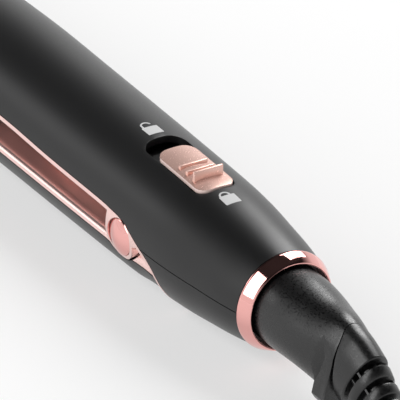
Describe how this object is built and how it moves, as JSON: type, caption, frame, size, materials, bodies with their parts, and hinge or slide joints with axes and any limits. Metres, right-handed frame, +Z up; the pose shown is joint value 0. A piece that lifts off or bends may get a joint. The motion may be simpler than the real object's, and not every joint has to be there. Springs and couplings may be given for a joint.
{
  "type": "hair straightener",
  "caption": "Two-arm hair straightener with a lockable rear hinge, floating plate, keys inside the handle and a swivelling ribbed cord guard.",
  "frame": {"origin": "on the table, under the hinge, in the middle of the narrow flat that runs along the lower arm", "axes": "+X along the tool from the plate tips to the cord guard, +Z up out of the lock slider, +Y to the far side of the picture"},
  "size_m": [0.3289, 0.0372, 0.037],
  "materials": {
    "soft_black": "soft-touch satin black",
    "textured_black": "finely grained black",
    "guard_black": "moulded flexible black",
    "dark_plastic": "plain black",
    "rose_chrome": "rose-gold mirror plating",
    "rose_satin": "rose-gold satin",
    "steel": "bare",
    "brass": "bare",
    "ceramic": "smooth ceramic coat",
    "heater_white": "ceramic element",
    "board": "solder mask",
    "capacitor_blue": "sleeved",
    "rubber": "matt",
    "lens": "clear diffuser",
    "wire_red": "silicone insulation",
    "wire_grey": "silicone insulation"
  },
  "bodies": {
    "main_body": {"upper_shell": "soft_black", "rear_cover": "soft_black", "upper_trim": "rose_chrome", "ring_collar": "rose_chrome", "hinge_pin": "steel", "opening_spring": "steel", "pivot_cap_left": "rose_chrome", "pivot_cap_right": "rose_chrome", "stop_pad_left": "rubber", "stop_pad_right": "rubber", "slider_bed": "dark_plastic", "main_pcb": "board", "capacitor": "capacitor_blue", "triac": "dark_plastic", "thermal_fuse": "heater_white", "upper_carrier": "dark_plastic", "upper_plate": "ceramic", "upper_heater": "heater_white", "brush_block": "dark_plastic", "cover_screw": "steel", "heater_lead_left": "wire_red", "heater_lead_right": "wire_grey"},
    "lower_arm": {"lower_shell": "soft_black", "lower_trim": "rose_chrome", "lower_carrier": "dark_plastic", "float_pad_1": "rubber", "float_pad_2": "rubber", "control_panel": "dark_plastic", "indicator_lens": "lens", "key_pcb": "board", "power_switch": "steel", "minus_switch": "steel", "plus_switch": "steel"},
    "floating_plate": {"lower_plate": "ceramic", "lower_heater": "heater_white"},
    "lock": {"lock_slider": "rose_satin", "latch_bolt": "steel"},
    "swivel": {"swivel_socket": "textured_black", "retainer_clip": "steel", "contact_ring_1": "brass", "contact_ring_2": "brass", "knuckle_pin": "steel"},
    "guard": {"cord_guard": "guard_black"},
    "power_key": {"power_button": "rose_satin"},
    "minus_key": {"minus_button": "rose_satin"},
    "plus_key": {"plus_button": "rose_satin"}
  },
  "joints": [
    {"name": "arm_hinge", "type": "hinge", "parent": "main_body", "child": "lower_arm", "pos_m": [-0.0009, 0, 0.0158], "axis": [0, -1, 0], "range_deg": [0, 16]},
    {"name": "lock_slide", "type": "slide", "parent": "main_body", "child": "lock", "axis": [-1, 0, 0], "range_m": [0, 0.0053]},
    {"name": "swivel_spin", "type": "hinge", "parent": "main_body", "child": "swivel", "pos_m": [0.05, 0, 0.017], "axis": [1, 0, 0], "continuous": true},
    {"name": "guard_tilt", "type": "hinge", "parent": "swivel", "child": "guard", "pos_m": [0.0754, 0, 0.012], "axis": [0, 1, 0], "range_deg": [0, 15]},
    {"name": "plate_float", "type": "slide", "parent": "lower_arm", "child": "floating_plate", "axis": [0, 0, -1], "range_m": [0, 0.0008], "stiffness_N_per_m": 3000, "springref_m": -0.0005},
    {"name": "power_press", "type": "slide", "parent": "lower_arm", "child": "power_key", "axis": [0, 0, -1], "range_m": [0, 0.0006], "stiffness_N_per_m": 800, "springref_m": -0.0003},
    {"name": "minus_press", "type": "slide", "parent": "lower_arm", "child": "minus_key", "axis": [0, 0, -1], "range_m": [0, 0.0006], "stiffness_N_per_m": 800, "springref_m": -0.0003},
    {"name": "plus_press", "type": "slide", "parent": "lower_arm", "child": "plus_key", "axis": [0, 0, -1], "range_m": [0, 0.0006], "stiffness_N_per_m": 800, "springref_m": -0.0003}
  ]
}
